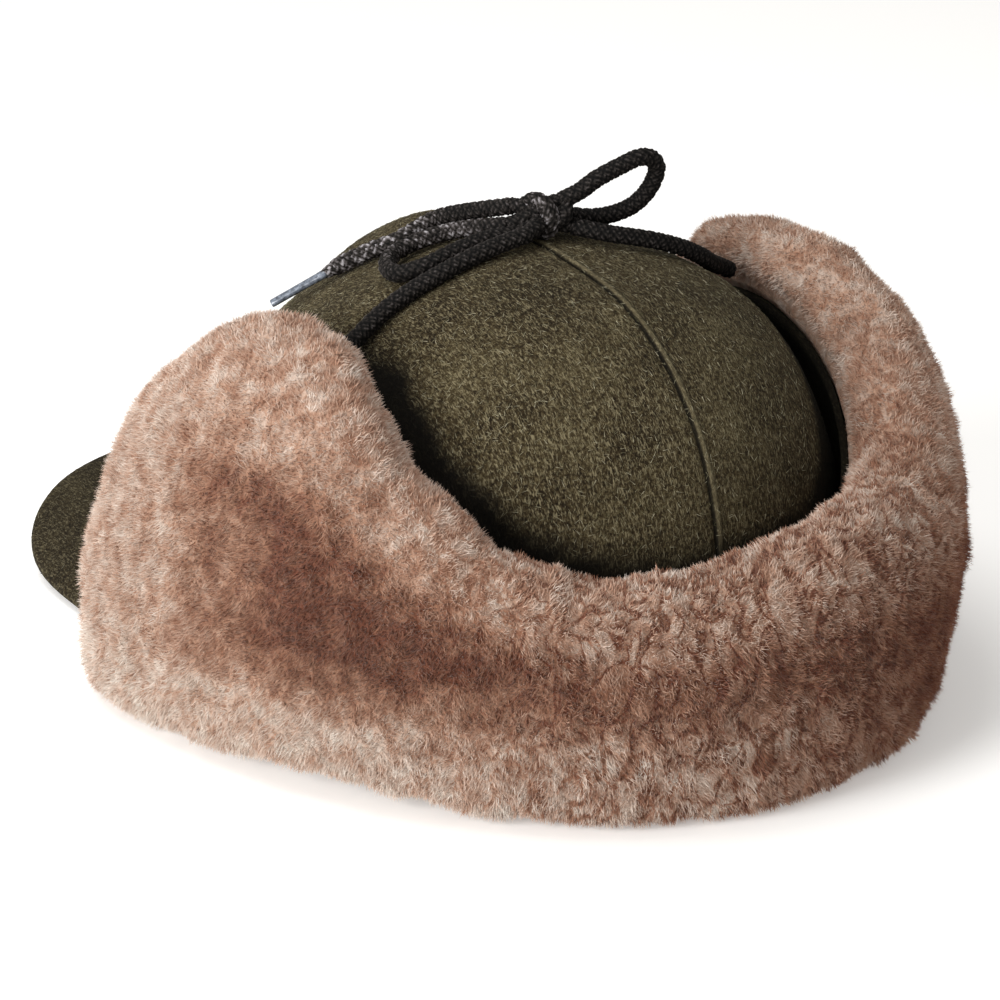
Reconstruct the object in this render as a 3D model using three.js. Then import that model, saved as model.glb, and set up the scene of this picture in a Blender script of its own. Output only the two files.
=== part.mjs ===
// A winter cap of melton wool with a soft peak and a deep sheepskin band, folded up and tied over the crown.
// Millimetres, +Z up, the floor at z = 0. The peak points to -Y and the wearer's left is +X.
import * as THREE from 'three';
import { mergeVertices } from 'three/addons/utils/BufferGeometryUtils.js';

// Driving dimensions
const GAP = 0.3;                  // clearance between neighbouring pieces
const HEAD_CENTRE_Y = 10.5;       // the head's axis, behind the middle of the cap's length
const CROWN_HALF_WIDTH = 87.5;
const CROWN_HALF_LENGTH = 98.5;
const RIM_HEIGHT = 5;             // the crown's lower edge, over the hem and the pile under it
const CROWN_WALL_TOP = 31;        // the side is upright to here and domed above
const DOME_HEIGHT = 94;
const DOME_SHOULDER = 2.6;        // how full the dome's shoulder is
const CROWN_CLOTH = 2.2;          // melton wool of the crown
const SEAM_SINK = 0.6;            // the wool dips this much at a seam
const FLAP_CLOTH = 2;             // melton wool of the flaps
const PEAK_THICKNESS = 3.8;
const PEAK_HALF_WIDTH = 90;
const PEAK_REACH = 160;           // from the head's axis to the front edge
const PEAK_SIDE_Y = 80;           // where the peak is widest
const PEAK_SQUARENESS = 3.6;
const PEAK_ARCH = 19;             // the middle stands this much over the corners
const BAND_START = 60;            // degrees from the front, where the band's hem starts
const FLAP_START = 42;            // degrees from the front, where the flap's front edge stands
const PILE_BOTTOM_CURL = 9;       // the pile turns in under the band over this width
const PILE_END_ROUND = 22;        // the pile rounds off over this length at a flap's front edge
const PILE_END_SPREAD = 1.8;      // length of band to a degree of its hem
const LOCKS_AROUND = 66;
const LOCKS_UP = 15;
const LOCK_HEIGHT = 3;
const CORD_DIAMETER = 4.6;
const CORD_SIDES = 8;
const CORD_STEP = 9;              // a section every two diameters
const LOOP_STEP = 5;              // the loops turn more tightly
const AGLET_DIAMETER = 2.8;
const AGLET_LENGTH = 16;

// The dome, by degrees from the front: level is how far the top stays level before it falls, 2 as on a ball
const DOME = [
  { angle: 0, level: 2.5 },
  { angle: 25, level: 1.55 },
  { angle: 55, level: 1.5 },
  { angle: 80, level: 1.7 },
  { angle: 105, level: 2.05 },
  { angle: 130, level: 2.45 },
  { angle: 155, level: 2.75 },
  { angle: 180, level: 2.8 },
];

// The band from the front of a flap to the middle of the back, the same on both sides.
// angle: degrees from the front. top: height of the pelt's edge. lift: of the lower edge off the floor.
// depth: of the pile at the bottom. crest: of the pile at the top. stand: from the crown to the flap's cloth.
const BAND = [
  { angle: 42, top: 54, lift: 0, depth: 29, crest: 17, stand: 3 },
  { angle: 55, top: 67, lift: 0, depth: 29, crest: 18, stand: 3 },
  { angle: 68, top: 84, lift: 0, depth: 27, crest: 20.5, stand: 3 },
  { angle: 82, top: 95, lift: 1, depth: 24, crest: 24, stand: 3 },
  { angle: 97, top: 99, lift: 3.5, depth: 22, crest: 25.5, stand: 3 },
  { angle: 113, top: 98, lift: 6, depth: 21.5, crest: 25.5, stand: 3.5 },
  { angle: 124, top: 91, lift: 6, depth: 22, crest: 26.5, stand: 4 },
  { angle: 134, top: 79, lift: 5, depth: 22.5, crest: 27.5, stand: 4 },
  { angle: 146, top: 66.5, lift: 3, depth: 24, crest: 29, stand: 4 },
  { angle: 158, top: 59.5, lift: 1, depth: 26, crest: 30, stand: 4 },
  { angle: 170, top: 57.5, lift: 0, depth: 27, crest: 31, stand: 4 },
  { angle: 180, top: 58.5, lift: 0, depth: 27, crest: 31, stand: 4 },
];

// The pile's section, from the floor up the outside and over the top edge.
// from: the place on the pelt that along is measured from, up it. out: share of the pile's depth there.
// under: share of the curl that the pile makes in under the band.
const PILE_SECTION = [
  { from: 'bottom', along: 0, out: 0.96, under: 1 },
  { from: 'bottom', along: 2.5, out: 0.97, under: 0.35 },
  { from: 'bottom', along: 10, out: 1, under: 0 },
  { from: 'middle', along: 0, out: 1.02, under: 0 },
  { from: 'top', along: -18, out: 1, under: 0 },
  { from: 'top', along: -6, out: 0.95, under: 0 },
  { from: 'top', along: 2, out: 0.77, under: 0 },
  { from: 'top', along: 6, out: 0.48, under: 0 },
  { from: 'top', along: 5.5, out: 0.18, under: 0 },
  { from: 'top', along: 2, out: 0.02, under: 0 },
];

const WOOL = new THREE.MeshStandardMaterial({ color: 0x4a4a34, roughness: 0.95, metalness: 0 });
const SHEEPSKIN = new THREE.MeshStandardMaterial({ color: 0xb8957f, roughness: 1, metalness: 0 });
const CORD = new THREE.MeshStandardMaterial({ color: 0x2b2828, roughness: 0.8, metalness: 0 });
const SHEATH = new THREE.MeshStandardMaterial({ color: 0x6d7480, roughness: 0.3, metalness: 0 });

const radians = THREE.MathUtils.degToRad;

function hash(i, j, salt) {
  const value = Math.sin(i * 127.1 + j * 311.7 + salt * 74.7) * 43758.5453;
  return value - Math.floor(value);
}

// One column of a table, read smoothly at any angle from the front
function readTable(table, key, angle) {
  let k = 0;
  while (k < table.length - 2 && table[k + 1].angle < angle) k += 1;
  const t = THREE.MathUtils.smoothstep(angle, table[k].angle, table[k + 1].angle);
  return THREE.MathUtils.lerp(table[k][key], table[k + 1][key], t);
}

// The crown: an oval wall with a dome, whose top falls sooner to the sides than to the back
function ovalRadius(angle) {
  return 1 / Math.hypot(Math.sin(angle) / CROWN_HALF_WIDTH, Math.cos(angle) / CROWN_HALF_LENGTH);
}

function domePower(angle) {
  const side = THREE.MathUtils.radToDeg(Math.acos(Math.cos(angle)));
  return readTable(DOME, 'level', side);
}

function widthAt(angle, height) {
  const rise = Math.max(0, height - CROWN_WALL_TOP) / DOME_HEIGHT;
  return (1 - rise ** DOME_SHOULDER) ** (1 / domePower(angle));
}

function crownNormal(angle, width, height) {
  if (width < 1e-6) return new THREE.Vector3(0, 0, 1);
  const power = domePower(angle);
  const rise = Math.max(0, height - CROWN_WALL_TOP) / DOME_HEIGHT;
  const radius = ovalRadius(angle) * width;
  const steep = power * width ** (power - 2);
  return new THREE.Vector3(
    steep * radius * Math.sin(angle) / CROWN_HALF_WIDTH ** 2,
    -steep * radius * Math.cos(angle) / CROWN_HALF_LENGTH ** 2,
    DOME_SHOULDER * rise ** (DOME_SHOULDER - 1) / DOME_HEIGHT,
  ).normalize();
}

function crownPoint(angle, width, height, out) {
  const radius = ovalRadius(angle) * width;
  const point = new THREE.Vector3(radius * Math.sin(angle), -radius * Math.cos(angle), height);
  return point.addScaledVector(crownNormal(angle, width, height), out);
}

function besideCrown(angle, height, out) {
  return crownPoint(angle, widthAt(angle, height), height, out);
}

// The band over one place of its hem: the flap reaches further forward than the hem that carries it
function bandAt(base) {
  const side = base > 180 ? 360 - base : base;
  const spread = 180 - (180 - side) * (180 - FLAP_START) / (180 - BAND_START);
  return {
    top: readTable(BAND, 'top', spread),
    lift: readTable(BAND, 'lift', side),
    depth: readTable(BAND, 'depth', spread),
    crest: readTable(BAND, 'crest', spread),
    stand: readTable(BAND, 'stand', spread),
  };
}

// The front edge of a flap: it leaves the hem behind the peak, comes forward over it and leans back at the top
function flapFront(height) {
  const forward = THREE.MathUtils.smoothstep(height, 15, 31);
  return BAND_START - forward * (BAND_START - FLAP_START);
}

function bandAngle(base, height) {
  return 180 + (base - 180) * (180 - flapFront(height)) / (180 - BAND_START);
}

function peakArch(x) {
  const share = Math.min(1, Math.abs(x) / PEAK_HALF_WIDTH);
  return PEAK_ARCH * (1 - share ** 4);
}

function rimHeight(degrees) {
  const angle = radians(degrees);
  const arch = Math.cos(angle) > 0 ? peakArch(ovalRadius(angle) * Math.sin(angle)) : 0;
  const side = degrees > 180 ? 360 - degrees : degrees;
  const lift = side > BAND_START ? bandAt(side).lift : 0;
  return RIM_HEIGHT + arch + lift;
}

// A closed body from triangles given as lists of three points
function bodyOf(triangles) {
  const positions = [];
  for (const [a, b, c] of triangles) {
    const cross = b.clone().sub(a).cross(c.clone().sub(a));
    if (cross.length() < 1e-7) continue;
    positions.push(...a.toArray(), ...b.toArray(), ...c.toArray());
  }
  const geometry = new THREE.BufferGeometry();
  geometry.setAttribute('position', new THREE.Float32BufferAttribute(positions, 3));
  return mergeVertices(geometry, 1e-4);
}

// Triangles of a grid of rows, facing the way that rows cross columns give
function gridFaces(rows, flip) {
  const faces = [];
  for (let j = 0; j < rows.length - 1; j += 1) {
    for (let i = 0; i < rows[j].length - 1; i += 1) {
      const [a, b, c, d] = [rows[j][i], rows[j][i + 1], rows[j + 1][i + 1], rows[j + 1][i]];
      faces.push(flip ? [a, c, b] : [a, b, c], flip ? [a, d, c] : [a, c, d]);
    }
  }
  return faces;
}

// Triangles between two lines of points that run side by side and need not have the same number of points
function stitch(first, second, flip) {
  const faces = [];
  let i = 0;
  let j = 0;
  while (i < first.length - 1 || j < second.length - 1) {
    const nextFirst = (i + 1) / (first.length - 1);
    const nextSecond = (j + 1) / (second.length - 1);
    const onFirst = j === second.length - 1 || (i < first.length - 1 && nextFirst <= nextSecond);
    const face = onFirst ? [first[i], first[i + 1], second[j]] : [first[i], second[j + 1], second[j]];
    faces.push(flip ? [face[0], face[2], face[1]] : face);
    if (onFirst) i += 1;
    else j += 1;
  }
  return faces;
}

function column(rows, index) {
  return rows.map((row) => row.at(index));
}

// A wall between an outer and an inner grid. Rows go up and columns go round with the angle.
function wall(outer, inner, outerFaces) {
  return bodyOf([
    ...(outerFaces ?? gridFaces(outer, false)),
    ...gridFaces(inner, true),
    ...stitch(outer[0], inner[0], true),
    ...stitch(outer.at(-1), inner.at(-1), false),
    ...stitch(column(outer, 0), column(inner, 0), false),
    ...stitch(column(outer, -1), column(inner, -1), true),
  ]);
}

function piece(name, geometry, material) {
  const mesh = new THREE.Mesh(geometry, material);
  mesh.name = name;
  return mesh;
}

// Every piece of the rim has its corners at the same angles, so that its neighbours keep their gap
const QUARTER_ANGLES = [0, 2, 7.5, 15, 22.5, 30, 37.5, 45, 52.5, 60, 67.5, 75, 82.5, 88, 90];

function rimAngles(from, to) {
  const all = [0, 90, 180, 270].flatMap((start) => QUARTER_ANGLES.map((angle) => start + angle));
  return [...new Set(all)].filter((angle) => angle >= from && angle <= to);
}

// Crown: four quarters, each domed and sewn to the next along a seam
function crownPanel(start) {
  const angles = QUARTER_ANGLES.map((angle) => start + angle);
  const wallRows = 3;
  const domeRows = 11;
  const rowsAt = (out) => {
    const rows = [];
    for (let j = 0; j <= wallRows + domeRows; j += 1) {
      rows.push(angles.map((degrees) => {
        const angle = radians(degrees);
        const sink = degrees % 90 === 0 ? SEAM_SINK : 0;
        if (j < wallRows) {
          const height = THREE.MathUtils.lerp(rimHeight(degrees), CROWN_WALL_TOP, j / wallRows);
          return crownPoint(angle, 1, height, out - sink * j / wallRows);
        }
        const climb = (j - wallRows) / domeRows * Math.PI / 2;
        const width = j === wallRows + domeRows ? 0 : Math.cos(climb) ** (2 / domePower(angle));
        const height = CROWN_WALL_TOP + DOME_HEIGHT * Math.sin(climb) ** (2 / DOME_SHOULDER);
        return crownPoint(angle, width, height, width === 0 ? out : out - sink);
      }));
    }
    return rows;
  };
  return wall(rowsAt(0), rowsAt(-CROWN_CLOTH));
}

// Peak: a wide arched board in wool, its inner edge under the crown's rim
function peak() {
  const half = rimAngles(0, 52.5);
  const angles = [...half.toReversed(), ...half.slice(1).map((angle) => -angle)];
  const last = half.at(-1);
  const nose = 0.3;
  const rows = (levels) => levels.map(({ share, drop }) => angles.map((degrees) => {
    const angle = radians(degrees);
    const side = degrees < 0 ? degrees + 360 : degrees;
    if (share < 0) {
      const point = crownPoint(angle, 1, rimHeight(side), -CROWN_CLOTH);
      return point.setZ(rimHeight(side) - GAP - drop);
    }
    const turn = Math.abs(degrees) / last * Math.PI / 2;
    const round = 2 / PEAK_SQUARENESS;
    const edge = new THREE.Vector3(
      Math.sign(degrees) * PEAK_HALF_WIDTH * Math.sin(turn) ** round,
      -PEAK_SIDE_Y - (PEAK_REACH - PEAK_SIDE_Y) * Math.cos(turn) ** round,
      0,
    );
    const point = crownPoint(angle, 1, 0, GAP).lerp(edge, share);
    const top = share === 0 ? rimHeight(side) : RIM_HEIGHT + peakArch(point.x);
    return point.setZ(top - GAP - drop);
  }));
  const top = rows([
    { share: -1, drop: 0 }, { share: 0, drop: 0 }, { share: 0.3, drop: 0 }, { share: 0.62, drop: 0 },
    { share: 0.97, drop: 0 }, { share: 1, drop: nose * PEAK_THICKNESS },
  ]);
  const under = rows([
    { share: -1, drop: PEAK_THICKNESS }, { share: 0, drop: PEAK_THICKNESS }, { share: 0.3, drop: PEAK_THICKNESS },
    { share: 0.62, drop: PEAK_THICKNESS }, { share: 0.97, drop: PEAK_THICKNESS },
    { share: 1, drop: (1 - nose) * PEAK_THICKNESS },
  ]);
  return wall(top, under, gridFaces(top, false));
}

// Cloth side of the neck guard and flaps: a hem under the crown's rim, then up outside the crown
const SHELL_ROWS = 7;
const SHELL_SHORT = 3.5;          // the cloth ends this far below the pelt's top edge

function clothHeight(base, row) {
  return THREE.MathUtils.lerp(rimHeight(base), bandAt(base).top - SHELL_SHORT, row / SHELL_ROWS);
}

function earflapShell() {
  const bases = rimAngles(BAND_START, 360 - BAND_START);
  const rowsAt = (outside) => {
    const hem = (base) => rimHeight(base) - GAP - (outside ? FLAP_CLOTH : 0);
    const rows = [bases.map((base) => crownPoint(radians(base), 1, hem(base), -CROWN_CLOTH))];
    for (let j = 0; j <= SHELL_ROWS; j += 1) {
      rows.push(bases.map((base) => {
        const height = j === 0 ? hem(base) : clothHeight(base, j);
        const angle = radians(bandAngle(base, height));
        return besideCrown(angle, height, bandAt(base).stand + (outside ? FLAP_CLOTH : 0));
      }));
    }
    return rows;
  };
  return wall(rowsAt(true), rowsAt(false));
}

// Sheepskin side: the pelt behind, and the pile in front of it in rows of locks
function pileSection(base) {
  const band = bandAt(base);
  const skin = band.stand + FLAP_CLOTH + GAP;
  const fromEnd = (180 - BAND_START - Math.abs(base - 180)) * PILE_END_SPREAD;
  const round = 0.5 + 0.5 * Math.sqrt(1 - (1 - Math.min(1, fromEnd / PILE_END_ROUND)) ** 2);
  const depths = { bottom: band.depth, middle: (band.depth + band.crest) / 2, top: band.crest };
  const slope = (height) => {
    const normal = crownNormal(radians(base), widthAt(radians(base), height), height);
    return Math.hypot(normal.x, normal.y);
  };
  const points = PILE_SECTION.map(({ from, along, out, under }) => {
    const start = { bottom: band.lift, middle: (band.lift + band.top) / 2, top: band.top }[from];
    const height = start + along * slope(start);
    const depth = depths[from] * round;
    return new THREE.Vector3(height, skin + depth * out - Math.min(depth / 2, PILE_BOTTOM_CURL) * under, 0);
  });
  return new THREE.CatmullRomCurve3(points, false, 'centripetal');
}

function earflapFur() {
  const span = 360 - 2 * BAND_START;
  const sections = [];
  for (let i = 0; i <= LOCKS_AROUND; i += 1) {
    sections.push(pileSection(BAND_START + span * i / LOCKS_AROUND));
  }
  const outer = [];
  for (let j = 0; j <= LOCKS_UP; j += 1) {
    const row = [];
    for (let i = 0; i <= LOCKS_AROUND; i += 1) {
      const edge = j === 0 || j === LOCKS_UP || i === 0 || i === LOCKS_AROUND || i === LOCKS_AROUND / 2;
      const side = Math.min(i, LOCKS_AROUND - i);
      const stagger = edge ? 0 : Math.sign(LOCKS_AROUND / 2 - i) * (hash(side, j, 1) - 0.5) * 0.7;
      const base = BAND_START + span * (i + stagger) / LOCKS_AROUND;
      const up = (j + (edge ? 0 : (hash(side, j, 2) - 0.5) * 0.6)) / LOCKS_UP;
      const { x: height, y: out } = sections[i].getPointAt(up);
      row.push(besideCrown(radians(bandAngle(base, height)), height, out));
    }
    outer.push(row);
  }
  const faces = [];
  for (let j = 0; j < LOCKS_UP; j += 1) {
    for (let i = 0; i < LOCKS_AROUND; i += 1) {
      const corners = [outer[j][i], outer[j][i + 1], outer[j + 1][i + 1], outer[j + 1][i]];
      const across = corners[2].clone().sub(corners[0]);
      const normal = across.cross(corners[3].clone().sub(corners[1])).normalize();
      const tip = new THREE.Vector3();
      corners.forEach((corner) => tip.addScaledVector(corner, 0.25));
      const side = Math.min(i, LOCKS_AROUND - 1 - i);
      tip.lerp(corners[0].clone().lerp(corners[1], 0.5), 0.3);
      tip.addScaledVector(normal, LOCK_HEIGHT * (0.5 + hash(side, j, 3)));
      tip.z = Math.max(tip.z, 0.2);
      corners.forEach((corner, k) => faces.push([corner, corners[(k + 1) % 4], tip]));
    }
  }
  const bases = rimAngles(BAND_START, 360 - BAND_START);
  const inner = [];
  for (let j = 0; j <= SHELL_ROWS + 1; j += 1) {
    inner.push(bases.map((base) => {
      const band = bandAt(base);
      const height = [band.lift, band.top][[0, SHELL_ROWS + 1].indexOf(j)] ?? clothHeight(base, j);
      const out = band.stand + FLAP_CLOTH + GAP;
      return besideCrown(radians(bandAngle(base, height)), height, out);
    }));
  }
  return wall(outer, inner, faces);
}

// Cords: braided round cord, laid over the crown. The routes are the middle of the cord, in head axes.
const TIE_LEFT = [
  [64.6, 12.8, 106.2], [62.4, 12.7, 107.3], [59.2, 12.6, 108.9], [54.2, 11.9, 112.0], [47.8, 11.9, 115.8],
  [42.0, 12.4, 118.7], [33.7, 13.4, 122.2], [24.3, 14.0, 125.3], [15.7, 14.4, 127.4], [9.5, 14.8, 128.6],
  [5.0, 14.6, 129.2],
];
const TIE_RIGHT = [
  [-64.9, 12.8, 105.8], [-62.8, 13.0, 106.9], [-59.6, 13.9, 108.6], [-55.5, 16.4, 110.7], [-49.5, 20.2, 114.5],
  [-42.0, 22.6, 118.7], [-33.6, 23.2, 122.3], [-26.4, 22.0, 124.5], [-19.4, 19.4, 126.1], [-14.0, 15.8, 127.4],
  [-10.6, 12.6, 128.2],
];
const LOOP_LEFT = [
  [5.0, 4.6, 129.0], [7.6, 1.2, 128.4], [10.2, -4.0, 127.1], [13.6, -9.4, 125.4], [18.6, -13.2, 123.6],
  [24.0, -15.2, 121.7], [29.6, -14.8, 120.2], [34.2, -11.0, 119.6], [37.4, -5.2, 119.2], [37.6, 1.2, 120.1],
  [33.2, 5.6, 122.5], [24.6, 6.8, 125.2], [16.4, 7.8, 127.3], [10.4, 8.9, 127.9], [5.4, 9.6, 127.9],
];
const LOOP_RIGHT = [
  [-8.4, 10.4, 135.2], [-13.3, 12.4, 137.6], [-17.7, 13.8, 140.6], [-25.0, 15.4, 143.7], [-29.8, 16.5, 145.4],
  [-33.6, 16.6, 145.0], [-36.8, 15.7, 141.9], [-37.1, 14.3, 137.9], [-35.5, 12.6, 133.5], [-32.0, 11.0, 130.0],
  [-26.4, 9.6, 128.2], [-20.5, 8.2, 127.9], [-15.2, 7.2, 128.9], [-10.6, 6.8, 130.4],
];
const END_LEFT = [
  [1.8, 2.0, 133.4], [3.6, -2.0, 132.2], [4.8, -7.0, 130.7], [6.8, -15.6, 127.9], [9.8, -22.6, 125.2],
  [15.0, -24.2, 123.0], [22.0, -24.8, 120.2], [27.3, -29.6, 117.0], [33.2, -35.2, 112.8], [38.6, -38.5, 109.2],
];
const END_RIGHT = [
  [-7.2, 1.8, 131.6], [-12.0, -3.5, 128.8], [-18.0, -10.0, 124.8], [-25.0, -17.0, 120.8], [-32.0, -25.0, 116.3],
  [-38.0, -34.0, 111.0], [-42.0, -43.0, 105.4], [-44.5, -52.0, 99.3], [-46.0, -60.0, 93.0],
];
const KNOT_CENTRE = [-2.8, 8.2, 130.9];
const KNOT_HALF = [7.0, 5.6, 5.2];

function route(points) {
  return new THREE.CatmullRomCurve3(points.map((point) => new THREE.Vector3(...point)));
}

function cord(points, step) {
  const path = route(points);
  const section = new THREE.Shape();
  for (let k = 0; k < CORD_SIDES; k += 1) {
    const turn = k / CORD_SIDES * 2 * Math.PI;
    const x = CORD_DIAMETER / 2 * Math.cos(turn);
    const y = CORD_DIAMETER / 2 * Math.sin(turn);
    if (k === 0) section.moveTo(x, y);
    else section.lineTo(x, y);
  }
  section.closePath();
  const steps = Math.round(path.getLength() / step);
  const tube = new THREE.ExtrudeGeometry(section, { steps, extrudePath: path, curveSegments: 1 });
  tube.deleteAttribute('uv');
  tube.deleteAttribute('normal');
  return mergeVertices(tube, 1e-4);
}

// The knot's outer form: a rounded lump with one turn of cord standing proud round its middle
function knot() {
  const lump = new THREE.SphereGeometry(1, 14, 10);
  lump.deleteAttribute('uv');
  lump.deleteAttribute('normal');
  const body = mergeVertices(lump, 1e-4);
  const place = body.attributes.position;
  for (let k = 0; k < place.count; k += 1) {
    const point = new THREE.Vector3().fromBufferAttribute(place, k);
    const proud = 1 + 0.12 * Math.exp(-((point.x / 0.35) ** 2));
    place.setXYZ(k, point.x * KNOT_HALF[0], point.y * KNOT_HALF[1] * proud, point.z * KNOT_HALF[2] * proud);
  }
  return body;
}

// An aglet: a slim sheath that carries on from the end of its cord
function aglet(points) {
  const path = route(points);
  const direction = path.getTangent(1);
  const sheath = new THREE.CylinderGeometry(AGLET_DIAMETER / 2, AGLET_DIAMETER / 2, AGLET_LENGTH, 8);
  sheath.deleteAttribute('uv');
  sheath.deleteAttribute('normal');
  const body = mergeVertices(sheath, 1e-4);
  body.applyQuaternion(new THREE.Quaternion().setFromUnitVectors(new THREE.Vector3(0, 1, 0), direction));
  const middle = path.getPoint(1).addScaledVector(direction, GAP + AGLET_LENGTH / 2);
  return body.translate(middle.x, middle.y, middle.z);
}

const head = new THREE.Group();
head.position.y = HEAD_CENTRE_Y;

const panels = [
  { name: 'crown_panel_front_left', start: 0, x: 1, y: -1 },
  { name: 'crown_panel_back_left', start: 90, x: 1, y: 1 },
  { name: 'crown_panel_back_right', start: 180, x: -1, y: 1 },
  { name: 'crown_panel_front_right', start: 270, x: -1, y: -1 },
];
for (const { name, start, x, y } of panels) {
  const panel = piece(name, crownPanel(start), WOOL);
  panel.position.set(x * GAP / 2, y * GAP / 2, 0);
  head.add(panel);
}

head.add(piece('peak', peak(), WOOL));
head.add(piece('earflap_shell', earflapShell(), WOOL));
head.add(piece('earflap_fur', earflapFur(), SHEEPSKIN));
head.add(piece('tie_cord_left', cord(TIE_LEFT, CORD_STEP), CORD));
head.add(piece('tie_cord_right', cord(TIE_RIGHT, CORD_STEP), CORD));
head.add(piece('bow_loop_left', cord(LOOP_LEFT, LOOP_STEP), CORD));
head.add(piece('bow_loop_right', cord(LOOP_RIGHT, LOOP_STEP), CORD));
head.add(piece('bow_end_left', cord(END_LEFT, CORD_STEP), CORD));
head.add(piece('bow_end_right', cord(END_RIGHT, CORD_STEP), CORD));
head.add(piece('aglet_left', aglet(END_LEFT), SHEATH));
head.add(piece('aglet_right', aglet(END_RIGHT), SHEATH));

const bowKnot = piece('bow_knot', knot(), CORD);
bowKnot.position.set(...KNOT_CENTRE);
head.add(bowKnot);

const cap = new THREE.Group();
cap.add(head);
export default cap;
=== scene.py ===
import math

import bmesh
import bpy
import numpy as np
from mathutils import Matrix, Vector, bvhtree, noise


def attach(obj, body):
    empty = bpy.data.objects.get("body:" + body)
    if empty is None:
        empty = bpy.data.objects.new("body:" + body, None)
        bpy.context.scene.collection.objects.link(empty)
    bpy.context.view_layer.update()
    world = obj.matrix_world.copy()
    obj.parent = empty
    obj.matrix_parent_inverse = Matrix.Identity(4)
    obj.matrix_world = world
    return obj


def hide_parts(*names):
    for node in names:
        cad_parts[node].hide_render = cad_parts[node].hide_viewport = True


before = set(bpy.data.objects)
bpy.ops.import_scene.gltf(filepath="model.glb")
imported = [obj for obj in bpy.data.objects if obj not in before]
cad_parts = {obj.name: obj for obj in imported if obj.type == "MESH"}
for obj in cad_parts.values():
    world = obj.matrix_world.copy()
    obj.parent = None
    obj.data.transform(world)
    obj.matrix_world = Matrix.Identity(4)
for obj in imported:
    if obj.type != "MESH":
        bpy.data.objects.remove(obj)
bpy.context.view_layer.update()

# Camera and studio. The cap is seen from behind and to its left, a little from above, through a long
# lens. It lies on a pale paper sweep that glows a little, as a light table does, so that it shows white.
# The light is soft and comes mostly from the left of the picture.
HEAD_CENTRE = Vector((0, 0.0105, 0))
VIEW_AZIMUTH = math.radians(146)
VIEW_ELEVATION = math.radians(20)
VIEW_DISTANCE = 1.3
VIEW_LENS = 167.1
VIEW_SHIFT = (-0.014, -0.046)
PAPER_HALF = 6
VIEW_TARGET = HEAD_CENTRE + Vector((0, 0, 0.06))

to_camera = Vector((
    math.sin(VIEW_AZIMUTH) * math.cos(VIEW_ELEVATION),
    -math.cos(VIEW_AZIMUTH) * math.cos(VIEW_ELEVATION),
    math.sin(VIEW_ELEVATION),
))
camera_data = bpy.data.cameras.new("camera")
camera_data.sensor_width = 36
camera_data.lens = VIEW_LENS
camera_data.shift_x, camera_data.shift_y = VIEW_SHIFT
camera_data.clip_end = 20
camera = bpy.data.objects.new("camera", camera_data)
camera.location = VIEW_TARGET + to_camera * VIEW_DISTANCE
camera.rotation_euler = (-to_camera).to_track_quat("-Z", "Y").to_euler()
bpy.context.collection.objects.link(camera)
bpy.context.scene.camera = camera


def linear(hex_colour):
    """An sRGB hex colour, turned to the linear colour that a shader reads."""
    channels = [int(hex_colour[k:k + 2], 16) / 255 for k in (1, 3, 5)]
    return [c / 12.92 if c <= 0.04045 else ((c + 0.055) / 1.055) ** 2.4 for c in channels] + [1]


def add(tree, kind, values=None, **settings):
    """Adds a node. values gives each socket a number, a colour or the socket that feeds it."""
    node = tree.nodes.new(kind)
    for key, value in settings.items():
        setattr(node, key, value)
    for key, value in (values or {}).items():
        if isinstance(value, bpy.types.NodeSocket):
            tree.links.new(value, node.inputs[key])
        else:
            node.inputs[key].default_value = value
    return node


def finish_of(name, rough, sheen=0.0, sheen_colour="#ffffff", ior=1.5, gloss=0.5):
    """A new material with its shader: returns the material, its tree and the shader."""
    material = bpy.data.materials.new(name)
    material.use_nodes = True
    shader = material.node_tree.nodes["Principled BSDF"]
    shader.inputs["Roughness"].default_value = rough
    shader.inputs["IOR"].default_value = ior
    shader.inputs["Sheen Weight"].default_value = sheen
    shader.inputs["Sheen Roughness"].default_value = 0.5
    shader.inputs["Sheen Tint"].default_value = linear(sheen_colour)
    shader.inputs["Specular IOR Level"].default_value = gloss
    return material, material.node_tree, shader


def ramp(tree, factor, *stops):
    """A colour ramp from pairs of a place and a hex colour."""
    node = add(tree, "ShaderNodeValToRGB", {"Fac": factor})
    elements = node.color_ramp.elements
    while len(elements) < len(stops):
        elements.new(1)
    for element, (place, colour) in zip(elements, stops):
        element.position = place
        element.color = linear(colour)
    return node.outputs["Color"]


paper, tree, shader = finish_of("matt_white_paper", 0.9)
shader.inputs["Base Color"].default_value = linear("#f1f0ee")
shader.inputs["Emission Color"].default_value = linear("#fffdfa")
shader.inputs["Emission Strength"].default_value = 0.3
floor_mesh = bpy.data.meshes.new("paper_sweep")
corners = ((-1, -1), (1, -1), (1, 1), (-1, 1))
floor_mesh.from_pydata([(x * PAPER_HALF, y * PAPER_HALF, 0) for x, y in corners], [], [(0, 1, 2, 3)])
floor_mesh.materials.append(paper)
floor = bpy.data.objects.new("paper_sweep", floor_mesh)
bpy.context.collection.objects.link(floor)

to_left = Vector((-math.cos(VIEW_AZIMUTH), -math.sin(VIEW_AZIMUTH), 0))
towards = Vector((to_camera.x, to_camera.y, 0)).normalized()
LIGHTS = [
    # name, to the left, towards the camera, up, width, power
    ("key_softbox", 0.98, 0.98, 0.55, 0.8, 22),
    ("top_softbox", 0.45, 0.0, 1.4, 1.0, 10),
    ("fill_softbox", -0.9, 1.2, 0.8, 1.2, 2),
]
for name, left, near, up, width, power in LIGHTS:
    lamp = bpy.data.lights.new(name, "AREA")
    lamp.shape = "DISK"
    lamp.size = width
    lamp.energy = power
    lamp_object = bpy.data.objects.new(name, lamp)
    lamp_object.location = to_left * left + towards * near + Vector((0, 0, up))
    aim = VIEW_TARGET - lamp_object.location
    lamp_object.rotation_euler = aim.to_track_quat("-Z", "Y").to_euler()
    bpy.context.collection.objects.link(lamp_object)

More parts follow.
